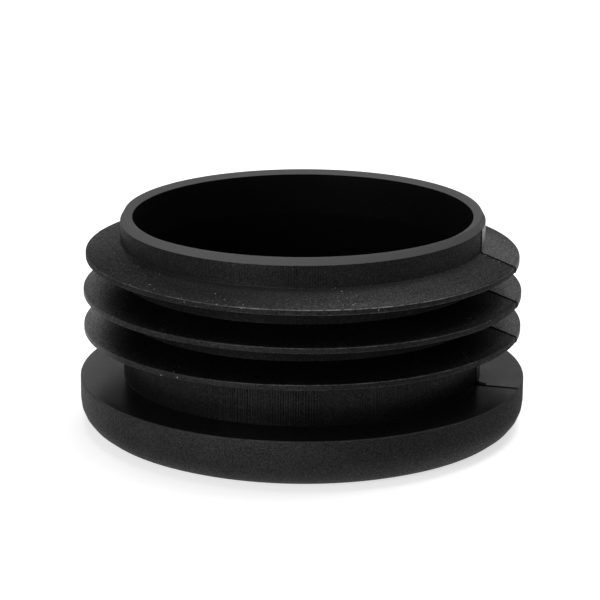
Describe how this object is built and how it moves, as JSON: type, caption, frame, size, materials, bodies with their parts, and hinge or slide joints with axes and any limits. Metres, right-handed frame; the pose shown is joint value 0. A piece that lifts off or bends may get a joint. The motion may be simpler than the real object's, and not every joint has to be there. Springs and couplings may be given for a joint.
{
  "type": "tube end cap",
  "caption": "Round press-in tube end cap: a disc head with a rounded outer edge and a hollow insert ringed by thin tapered fins.",
  "frame": {"origin": "centre of the head's flat outer face, which the cap stands on", "axes": "+Z along the cap's axis, from the head towards the open end of the insert; +X and +Y are free, because the cap is round"},
  "size_m": [0.05, 0.05, 0.0242],
  "materials": {
    "cap_plastic": "fine eroded texture, satin, black"
  },
  "bodies": {
    "root": {"end_cap": "cap_plastic"}
  },
  "joints": []
}
